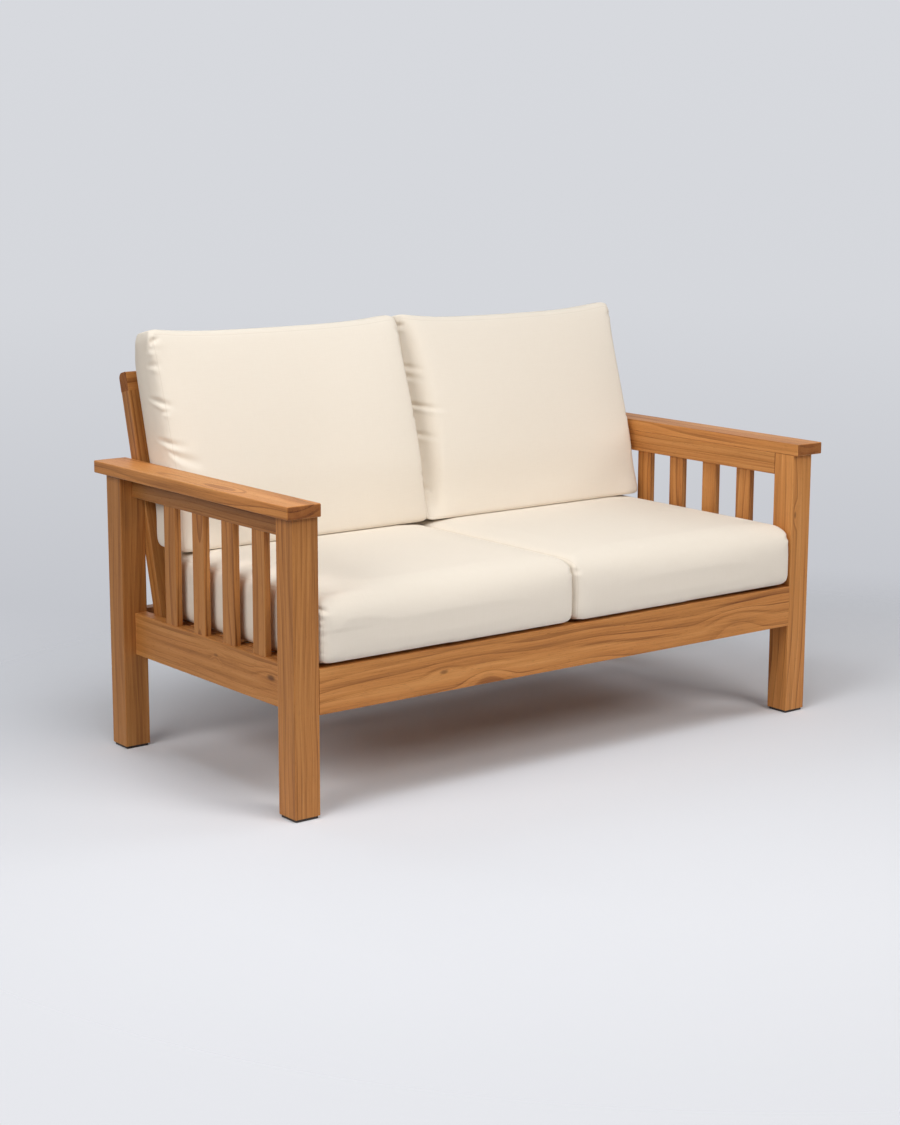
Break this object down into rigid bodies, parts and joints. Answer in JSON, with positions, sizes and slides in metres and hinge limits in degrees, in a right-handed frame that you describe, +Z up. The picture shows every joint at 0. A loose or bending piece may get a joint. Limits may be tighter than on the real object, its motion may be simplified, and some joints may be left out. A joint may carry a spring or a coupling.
{
  "type": "patio loveseat",
  "caption": "Outdoor two-seat sofa: square-legged teak frame with flat armrests over upright slats, a leaning slatted back, and loose boxed seat and back cushions in ivory fabric.",
  "frame": {"origin": "on the floor, under the middle of the whole object's box", "axes": "+X to the right seen from the front, along the seat; +Y from the front to the back; +Z up"},
  "size_m": [1.49, 0.7794, 0.936],
  "materials": {
    "teak": "satin",
    "cushion_fabric": "matte",
    "foam": "matte",
    "zip_tape": "matte",
    "glide_nylon": "matte",
    "steel": "satin"
  },
  "bodies": {
    "frame": {"arm_slat_left_1": "teak", "arm_slat_left_2": "teak", "arm_slat_left_3": "teak", "arm_slat_left_4": "teak", "arm_slat_right_1": "teak", "arm_slat_right_2": "teak", "arm_slat_right_3": "teak", "arm_slat_right_4": "teak", "armrest_left": "teak", "armrest_right": "teak", "back_frame_bolts": "steel", "back_slat_1": "teak", "back_slat_10": "teak", "back_slat_2": "teak", "back_slat_3": "teak", "back_slat_4": "teak", "back_slat_5": "teak", "back_slat_6": "teak", "back_slat_7": "teak", "back_slat_8": "teak", "back_slat_9": "teak", "back_stile_left": "teak", "back_stile_right": "teak", "bracket_screws": "steel", "centre_bearer": "teak", "corner_brackets": "steel", "crest_rail": "teak", "deck_board_1": "teak", "deck_board_2": "teak", "deck_board_3": "teak", "deck_board_4": "teak", "deck_board_5": "teak", "deck_board_6": "teak", "deck_screws": "steel", "foot_glides": "glide_nylon", "front_left_leg": "teak", "front_rail": "teak", "front_right_leg": "teak", "lower_back_rail": "teak", "lower_side_rail_left": "teak", "lower_side_rail_right": "teak", "rear_left_leg": "teak", "rear_rail": "teak", "rear_right_leg": "teak", "side_bearer_left": "teak", "side_bearer_right": "teak", "upper_side_rail_left": "teak", "upper_side_rail_right": "teak"},
    "seat_cushion_left": {"seat_cover_left": "cushion_fabric", "seat_core_left": "foam", "seat_zip_left": "zip_tape"},
    "back_cushion_left": {"back_cover_left": "cushion_fabric", "back_core_left": "foam", "back_zip_left": "zip_tape"},
    "seat_cushion_right": {"seat_cover_right": "cushion_fabric", "seat_core_right": "foam", "seat_zip_right": "zip_tape"},
    "back_cushion_right": {"back_cover_right": "cushion_fabric", "back_core_right": "foam", "back_zip_right": "zip_tape"}
  },
  "joints": [
    {"name": "seat_cushion_left_lift", "type": "slide", "parent": "frame", "child": "seat_cushion_left", "axis": [0, 0, 1], "range_m": [0, 0.45]},
    {"name": "back_cushion_left_lift", "type": "slide", "parent": "seat_cushion_left", "child": "back_cushion_left", "axis": [0, 0.2419, 0.9703], "range_m": [0, 0.55]},
    {"name": "seat_cushion_right_lift", "type": "slide", "parent": "frame", "child": "seat_cushion_right", "axis": [0, 0, 1], "range_m": [0, 0.45]},
    {"name": "back_cushion_right_lift", "type": "slide", "parent": "seat_cushion_right", "child": "back_cushion_right", "axis": [0, 0.2419, 0.9703], "range_m": [0, 0.55]}
  ]
}
